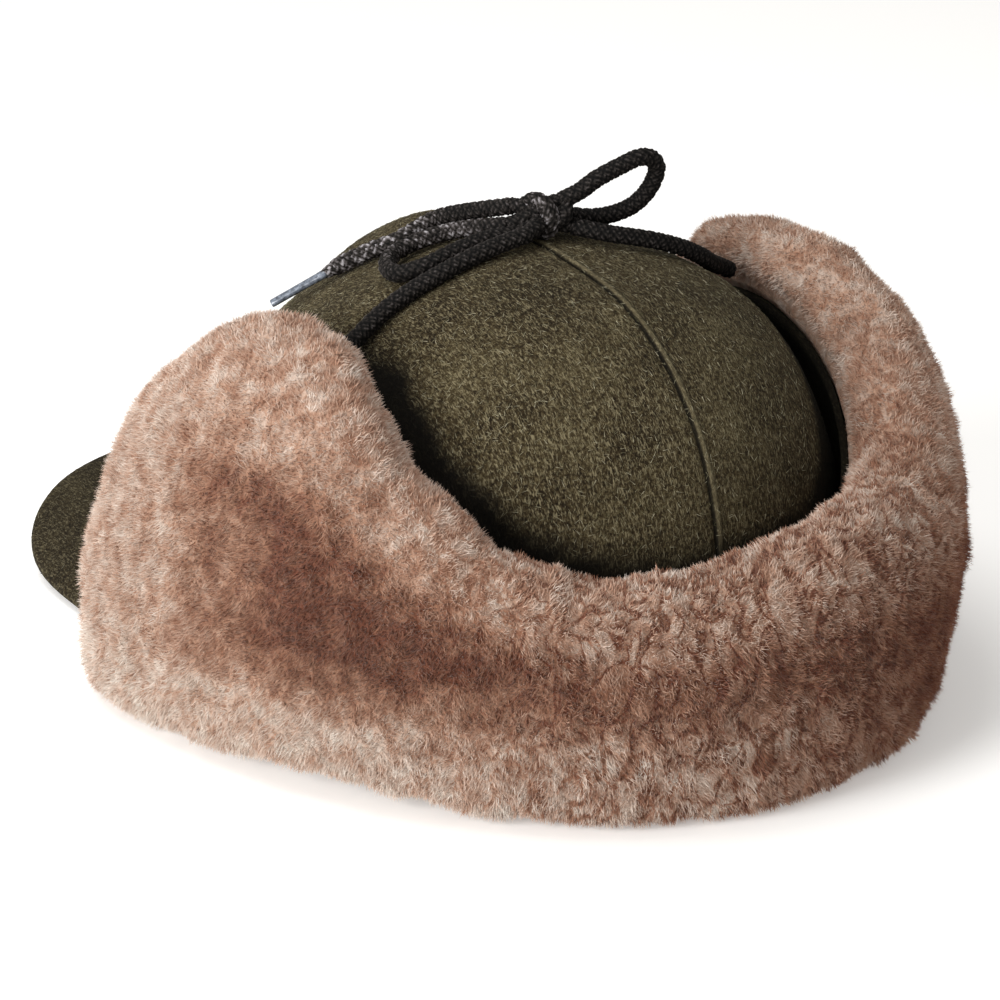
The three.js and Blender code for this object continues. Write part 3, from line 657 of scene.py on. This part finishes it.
for seed, node in enumerate(CROWN_NODES, 1):
    panel = finer_copy(node, "wool_" + node, 2)
    right_hand = node.endswith("right")
    for vertex in panel.data.vertices:
        # the solids stand a little apart at their seams, and here they meet
        for axis in (0, 1):
            off = vertex.co[axis] - HEAD_CENTRE[axis]
            if abs(off) < SEAM_GAP:
                vertex.co[axis] = HEAD_CENTRE[axis] + math.copysign(SEWN_GAP, off)
        normal = vertex.normal
        if normal.dot(vertex.co - (HEAD_CENTRE + CROWN_MIDDLE)) < 0:
            continue
        off_seam = abs(vertex.co.x)
        raised = math.exp(-((off_seam - ALLOWANCE_WIDTH * 0.6) / (ALLOWANCE_WIDTH * 0.45)) ** 2)
        swell = noise.noise(vertex.co * 28) * 0.0007 + noise.noise(vertex.co * 70) * 0.00025
        height = swell + (raised * ALLOWANCE_HEIGHT if right_hand else 0)
        vertex.co += normal * height
    # painted shade: the wool is darkened near the pile, in the fold
    mark_fold_painted_shade(panel.data)
    dress(panel, node, seamed_melton)
    grow_fibres(panel, node, outward, FIBRES_A_PANEL, seed)

# Peak: the same wool turned over a thin board, with its edge turned under and nothing sewn through it.
# It lies in the shade of the flaps, so its wool is partly darkened as in the fold.
PEAK_SHADE = 0.45
FIBRES_ON_PEAK = 900
peak = finer_copy("peak", "wool_peak", 2)
peak_shade = [PEAK_SHADE] * len(peak.data.vertices)
peak.data.attributes.new("fold", "FLOAT", "POINT").data.foreach_set("value", peak_shade)
dress(peak, "peak", olive_melton)
grow_fibres(peak, "peak", lambda face: True, FIBRES_ON_PEAK, 9)

# Cloth side of the neck guard and earflaps: the same wool, folded up outside the crown. It shows only
# in the dark gap between the crown and the pile, and along the front edges of the flaps.
# the cloth here is drawn in the darker copy of the wool, painted shade for the gap
shell = finer_copy("earflap_shell", "wool_earflap_shell", 1)
dress(shell, "earflap_shell", shaded_melton)

# Sheepskin side: sheared pile about 25 mm deep on its pelt, sewn to the cloth side along its edges. The
# pile's body is one soft form with tufts in it, and the tips of the wool stand out of it all over,
# combed a little and clumped. Heights below are in millimetres, and angles in degrees from the front.
PILE_INSET = 0.0018
PILE_VOXEL = 0.0025
TUFT_SIZE = 0.0062
TUFT_STRETCH = 0.6
TUFT_PULL = 0.55
TIPS_A_QUARTER = 42000
TIP_LENGTH = 0.0026
TIP_WIDTH = 0.00017
TIP_CLEARANCE = 0.0003

cad_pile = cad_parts["earflap_fur"].data.copy()
pile = bpy.data.objects.new("sheepskin_pile", cad_pile)
bpy.context.collection.objects.link(pile)
join = pile.modifiers.new("join", "WELD")
join.merge_threshold = 1e-6
remesh = pile.modifiers.new("even", "REMESH")
remesh.mode = "VOXEL"
remesh.voxel_size = PILE_VOXEL
soften = pile.modifiers.new("soften", "SMOOTH")
soften.factor = 0.5
soften.iterations = 5
made = bpy.data.meshes.new_from_object(pile.evaluated_get(bpy.context.evaluated_depsgraph_get()))
pile.modifiers.clear()
pile.data = made
made.name = "sheepskin_pile"

shell_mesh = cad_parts["earflap_shell"].data
shell_tree = bvhtree.BVHTree.FromPolygons(
    [v.co for v in shell_mesh.vertices], [p.vertices for p in shell_mesh.polygons])
# the height of the pile's top edge at each angle, and how far the real edge is off that at each angle
# round by the cap's left: it dips lowest to the left of the back seam and climbs from there
TOPS = ([42, 55, 68, 82, 97, 113, 124, 134, 146, 158, 170, 180],
        [54, 67, 84, 95, 99, 98, 91, 79, 66.5, 59.5, 57.5, 58.5])
EDGE_SHIFT = ([118, 130, 150, 160, 170, 178, 188, 198, 212], [0, -6, -5, -4, -1.5, 0, 3.5, 4.5, 0])
INNER_DEPTH = 0.003
TUFT_RELIEF = 0.0018
SWELL_RELIEF = 0.0012
FAR_CREST = 0.0025
PILE_CLEARANCE = 0.0004
NOISE_SEED = 1
count = len(made.vertices)
depth = np.zeros(count)
pale = np.zeros(count)
mottle = np.zeros(count)
short = np.zeros(count)
lean = np.zeros((count, 3))
# vector noise takes its offsets from the clock until its seed is set
noise.seed_set(NOISE_SEED)
spots = [v.co.copy() for v in made.vertices]
normals = [v.normal.copy() for v in made.vertices]
for k, (spot, normal) in enumerate(zip(spots, normals)):
    depth[k] = shell_tree.find_nearest(spot)[3]
    off, angle = around_head(spot)
    top = np.interp(angle, *TOPS)
    wander = noise.noise(spot * 22) * 14 + noise.noise(spot * 60) * 6
    # paler on the flaps in front, near the bottom and along the crest; painted shade makes it darker low at
    # the right and fades the bottom's paleness towards the right, away from the light
    front = np.interp(angle + wander * 0.8, [88, 112], [0.85, 0])
    bottom = np.interp(off.z + wander * 0.3, [24, 46], [1, 0]) * np.interp(off.x, [-60, 30], [0.1, 1])
    bottom *= np.interp(angle, [130, 155], [1, 0.78])
    crest = np.interp(off.z + wander * 0.4, [top - 22, top - 4], [0, 0.8])
    crest *= np.interp(angle, [120, 150], [1, 0.85])
    painted_shade_low_right = np.interp(off.x, [-115, -40], [-0.25, 0]) * np.interp(off.z, [40, 75], [1, 0])
    pale[k] = max(front, bottom, crest) + painted_shade_low_right
    mottle[k] = np.interp(angle, [135, 160], [0, 1])
    comb = Vector((0, 0, -0.15)) + Vector(noise.turbulence_vector(spot * 60, 2, False)) * 0.35
    toward_crown = -Vector((off.x, off.y, 0)).normalized()
    over = np.interp(off.z, [top - 6, top + 6], [0, 0.25])
    short[k] = np.interp(off.z, [top - 10, top], [1, 0.72])
    lean[k] = normal + comb + toward_crown * over
inner = depth < INNER_DEPTH
for k, vertex in enumerate(made.vertices):
    off, angle = around_head(spots[k])
    around = math.degrees(math.atan2(off.x, -off.y)) % 360
    edge = np.interp(angle, *TOPS)
    vertex.co.z += np.interp(around, *EDGE_SHIFT) / 1000 * np.interp(off.z, [25, edge - 5], [0, 1])
    if inner[k]:
        continue
    tuft = Vector((spots[k].x, spots[k].y, spots[k].z * TUFT_STRETCH)) / TUFT_SIZE
    near, next_near = noise.voronoi(tuft + noise.noise_vector(tuft) * 0.5)[0][:2]
    lump = (min(next_near - near, 0.5) - 0.25) * TUFT_RELIEF * (0.3 + 0.6 * mottle[k])
    swell = noise.noise(spots[k] * 38) * SWELL_RELIEF
    inset = PILE_INSET * np.interp(off.x, [-100, -60], [0.5, 1]) * np.interp(off.z, [5, 20], [0.2, 1])
    vertex.co += normals[k] * (lump + swell - inset)
    if off.x < 0:
        near_top = np.interp(off.z, [70, 96], [0, 1])
        vertex.co.z += FAR_CREST * near_top * math.exp(-((angle - 118) / 11) ** 2)
    vertex.co.z = max(vertex.co.z, PILE_CLEARANCE)
for label, values in (("pale", pale), ("mottle", mottle), ("short", short)):
    made.attributes.new(label, "FLOAT", "POINT").data.foreach_set("value", values.astype(np.float32))
leaning = made.attributes.new("lean", "FLOAT_VECTOR", "POINT")
leaning.data.foreach_set("vector", lean.astype(np.float32).ravel())
made.polygons.foreach_set("use_smooth", [True] * len(made.polygons))


def wool_colour(tree, along):
    """Dyed sheepskin: brown at the skin and paler to the sheared tip, paler again near the flaps' edges, with
    painted shade in the partings between tufts and low at the right.
    """
    pale = add(tree, "ShaderNodeAttribute", attribute_name="pale").outputs["Fac"]
    tone = add(tree, "ShaderNodeAttribute", attribute_name="tone").outputs["Fac"]
    place = add(tree, "ShaderNodeTexCoord").outputs["Object"]
    tuft = add(tree, "ShaderNodeTexNoise", {"Vector": place, "Scale": 160, "Detail": 3, "Roughness": 0.6})
    blotch = add(tree, "ShaderNodeMapRange", {"Value": tuft.outputs["Fac"], "From Min": 0.3, "From Max": 0.7,
                                              "To Min": -0.2, "To Max": 0.2})
    mottle = add(tree, "ShaderNodeAttribute", attribute_name="mottle").outputs["Fac"]
    tall = add(tree, "ShaderNodeVectorMath", {0: place, 1: (1, 1, TUFT_STRETCH)}, operation="MULTIPLY")
    parting = add(tree, "ShaderNodeTexNoise", {"Vector": tall.outputs[0], "Scale": 1.0 / TUFT_SIZE,
                                               "Detail": 2.5, "Roughness": 0.55, "Distortion": 0.8})
    # darker in the partings between tufts: partly the browner wool near the skin, partly painted shade
    off_parting = add(tree, "ShaderNodeMath", {0: parting.outputs["Fac"], 1: 0.5}, operation="SUBTRACT")
    off_parting = add(tree, "ShaderNodeMath", {0: off_parting.outputs[0]}, operation="ABSOLUTE")
    between = add(tree, "ShaderNodeMapRange", {"Value": off_parting.outputs[0], "From Max": 0.07,
                                               "To Min": -0.42, "To Max": 0.08},
                  interpolation_type="SMOOTHSTEP")
    share = add(tree, "ShaderNodeMath", {0: mottle, 1: 0.75, 2: 0.3}, operation="MULTIPLY_ADD")
    level = add(tree, "ShaderNodeMath", {0: between.outputs[0], 1: share.outputs[0], 2: blotch.outputs[0]},
                operation="MULTIPLY_ADD")
    level = add(tree, "ShaderNodeMath", {0: pale, 1: 0.64, 2: level.outputs[0]}, operation="MULTIPLY_ADD")
    level = add(tree, "ShaderNodeMath", {0: tone, 1: 0.16, 2: level.outputs[0]}, operation="MULTIPLY_ADD")
    tip = ramp(tree, level.outputs[0], (0.0, "#763f25"), (0.3, "#9f6f52"), (0.62, "#cbb3a2"),
               (0.92, "#e0d7cd"))
    root = ramp(tree, level.outputs[0], (0.0, "#5f2f1a"), (0.5, "#a67f67"), (0.92, "#d3cac0"))
    return add(tree, "ShaderNodeMix", {0: along, 6: root, 7: tip}, data_type="RGBA").outputs[2]


# The body under the tips: dense wool seen end on, darker in its hollows, partly the browner wool near the
# skin and partly painted shade.
pile_wool, tree, shader = finish_of("sheepskin_pile_body", 0.95, 0.3, "#e8d2bd", 1.55)
place = add(tree, "ShaderNodeTexCoord").outputs["Object"]
strand = add(tree, "ShaderNodeTexNoise", {"Vector": place, "Scale": 700, "Detail": 5, "Roughness": 0.7})
showing = add(tree, "ShaderNodeMapRange", {"Value": strand.outputs["Fac"], "From Min": 0.35, "From Max": 0.7,
                                           "To Min": 0.05, "To Max": 0.7})
tree.links.new(wool_colour(tree, showing.outputs[0]), shader.inputs["Base Color"])
relief = add(tree, "ShaderNodeBump", {"Height": strand.outputs["Fac"], "Strength": 0.9, "Distance": 0.0015})
tree.links.new(relief.outputs[0], shader.inputs["Normal"])
made.materials.clear()
made.materials.append(pile_wool)
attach(pile, "root")
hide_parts("earflap_fur")

# The tips: single wool fibres are too fine to draw, so each tip is a slim lock of a few dozen, about
# 0.3 mm wide at its foot. They catch more light than the body does and are paler towards their ends.
wool_tips, tree, shader = finish_of("sheepskin_tips", 0.85, 0.35, "#e9e2da", 1.55)
along = add(tree, "ShaderNodeAttribute", attribute_name="along").outputs["Fac"]
tree.links.new(wool_colour(tree, along), shader.inputs["Base Color"])

tips_tree = bpy.data.node_groups.new("wool_tips", "GeometryNodeTree")
for label, kind in (("Geometry", "NodeSocketGeometry"), ("Density", "NodeSocketFloat"),
                    ("Length", "NodeSocketFloat"), ("Width", "NodeSocketFloat"),
                    ("Clump Size", "NodeSocketFloat"), ("Clump", "NodeSocketFloat"),
                    ("Seed", "NodeSocketInt"), ("Material", "NodeSocketMaterial")):
    tips_tree.interface.new_socket(label, in_out="INPUT", socket_type=kind)
tips_tree.interface.new_socket("Geometry", in_out="OUTPUT", socket_type="NodeSocketGeometry")
given = add(tips_tree, "NodeGroupInput").outputs
scatter = add(tips_tree, "GeometryNodeDistributePointsOnFaces",
              {"Mesh": given["Geometry"], "Density": given["Density"], "Seed": given["Seed"]})
tone = add(tips_tree, "FunctionNodeRandomValue", {"Seed": given["Seed"]}, data_type="FLOAT")
toned = add(tips_tree, "GeometryNodeStoreNamedAttribute",
            {"Geometry": scatter.outputs["Points"], "Name": "tone", "Value": tone.outputs[1]},
            data_type="FLOAT", domain="POINT")
spot = add(tips_tree, "GeometryNodeInputPosition").outputs[0]
combed = add(tips_tree, "GeometryNodeInputNamedAttribute", {"Name": "lean"},
             data_type="FLOAT_VECTOR").outputs[0]
inverse = add(tips_tree, "ShaderNodeMath", {0: 1.0, 1: given["Clump Size"]}, operation="DIVIDE").outputs[0]
tall = add(tips_tree, "ShaderNodeVectorMath", {0: spot, 1: (1, 1, TUFT_STRETCH)}, operation="MULTIPLY")
clump = add(tips_tree, "ShaderNodeTexVoronoi", {"Vector": tall.outputs[0], "Scale": inverse})
pull = add(tips_tree, "ShaderNodeVectorMath", {0: clump.outputs["Position"], 1: tall.outputs[0]},
           operation="SUBTRACT")
pull = add(tips_tree, "ShaderNodeVectorMath", {0: pull.outputs[0], "Scale": inverse}, operation="SCALE")
pull = add(tips_tree, "ShaderNodeVectorMath", {0: pull.outputs[0], "Scale": given["Clump"]},
           operation="SCALE")
stray = add(tips_tree, "FunctionNodeRandomValue",
            {0: (-0.5, -0.5, -0.5), 1: (0.5, 0.5, 0.5), "Seed": given["Seed"]},
            data_type="FLOAT_VECTOR").outputs[0]
aim = add(tips_tree, "ShaderNodeVectorMath", {0: combed, 1: pull.outputs[0]}, operation="ADD")
aim = add(tips_tree, "ShaderNodeVectorMath", {0: aim.outputs[0], 1: stray}, operation="ADD")
upright = add(tips_tree, "FunctionNodeAlignRotationToVector", {"Vector": aim.outputs[0]}, axis="Z")
spin = add(tips_tree, "FunctionNodeRandomValue", {2: 0.0, 3: 6.283, "Seed": given["Seed"]}, data_type="FLOAT")
spun = add(tips_tree, "FunctionNodeAxisAngleToRotation", {"Axis": (0, 0, 1), "Angle": spin.outputs[1]})
turned = add(tips_tree, "FunctionNodeRotateRotation",
             {"Rotation": upright.outputs[0], "Rotate By": spun.outputs[0]}, rotation_space="LOCAL")
size = add(tips_tree, "FunctionNodeRandomValue", {2: 0.68, 3: 1.25, "Seed": given["Seed"]}, data_type="FLOAT")
tuft_share = add(tips_tree, "ShaderNodeTexNoise", {"Vector": spot, "Scale": 230.0, "Detail": 1.0}).outputs[0]
tuft_size = add(tips_tree, "ShaderNodeMapRange", {"Value": tuft_share, "From Min": 0.3, "From Max": 0.7,
                                                  "To Min": 0.65, "To Max": 1.25})
cropped = add(tips_tree, "GeometryNodeInputNamedAttribute", {"Name": "short"}, data_type="FLOAT").outputs[0]
long = add(tips_tree, "ShaderNodeMath", {0: size.outputs[1], 1: tuft_size.outputs[0]}, operation="MULTIPLY")
long = add(tips_tree, "ShaderNodeMath", {0: long.outputs[0], 1: cropped}, operation="MULTIPLY")
long = add(tips_tree, "ShaderNodeMath", {0: long.outputs[0], 1: given["Length"]}, operation="MULTIPLY")
scale = add(tips_tree, "ShaderNodeCombineXYZ",
            {"X": given["Width"], "Y": given["Width"], "Z": long.outputs[0]})
lock = add(tips_tree, "GeometryNodeMeshCone", {"Vertices": 3, "Side Segments": 1, "Radius Top": 0.0,
                                               "Radius Bottom": 1.0, "Depth": 1.0})
height = add(tips_tree, "ShaderNodeSeparateXYZ",
             {0: add(tips_tree, "GeometryNodeInputPosition").outputs[0]}).outputs[2]
marked = add(tips_tree, "GeometryNodeStoreNamedAttribute",
             {"Geometry": lock.outputs["Mesh"], "Name": "along", "Value": height},
             data_type="FLOAT", domain="POINT")
placed = add(tips_tree, "GeometryNodeInstanceOnPoints", {
    "Points": toned.outputs[0], "Instance": marked.outputs[0], "Rotation": turned.outputs[0],
    "Scale": scale.outputs[0]})
real = add(tips_tree, "GeometryNodeRealizeInstances", {"Geometry": placed.outputs[0]})
spot = add(tips_tree, "ShaderNodeSeparateXYZ", {0: add(tips_tree, "GeometryNodeInputPosition").outputs[0]})
above = add(tips_tree, "ShaderNodeMath", {0: spot.outputs[2], 1: TIP_CLEARANCE}, operation="MAXIMUM")
rested = add(tips_tree, "GeometryNodeSetPosition", {
    "Geometry": real.outputs[0],
    "Position": add(tips_tree, "ShaderNodeCombineXYZ", {
        "X": spot.outputs[0], "Y": spot.outputs[1], "Z": above.outputs[0]}).outputs[0]})
dressed = add(tips_tree, "GeometryNodeSetMaterial",
              {"Geometry": rested.outputs[0], "Material": given["Material"]})
add(tips_tree, "NodeGroupOutput", {"Geometry": dressed.outputs[0]})

QUARTERS = {"front_left": (1, -1), "back_left": (1, 1), "back_right": (-1, 1), "front_right": (-1, -1)}
MIDDLE_Y = 0.062
for seed, (quarter, (x, y)) in enumerate(QUARTERS.items(), 1):
    def in_quarter(face):
        """Whether a face is in this quarter and on the pile's outside."""
        middle = face.calc_center_median()
        outside = all(not inner[v.index] for v in face.verts)
        return outside and (middle.x > 0) == (x > 0) and (middle.y > MIDDLE_Y) == (y > 0)

    ground, area = ground_of(made, in_quarter)
    piece = grow(tips_tree, ground, "wool_tips_" + quarter, {
        "Density": TIPS_A_QUARTER / area, "Length": TIP_LENGTH, "Width": TIP_WIDTH, "Clump Size": TUFT_SIZE,
        "Clump": TUFT_PULL, "Seed": seed, "Material": wool_tips})
    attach(piece, "root")
    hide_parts("earflap_fur")
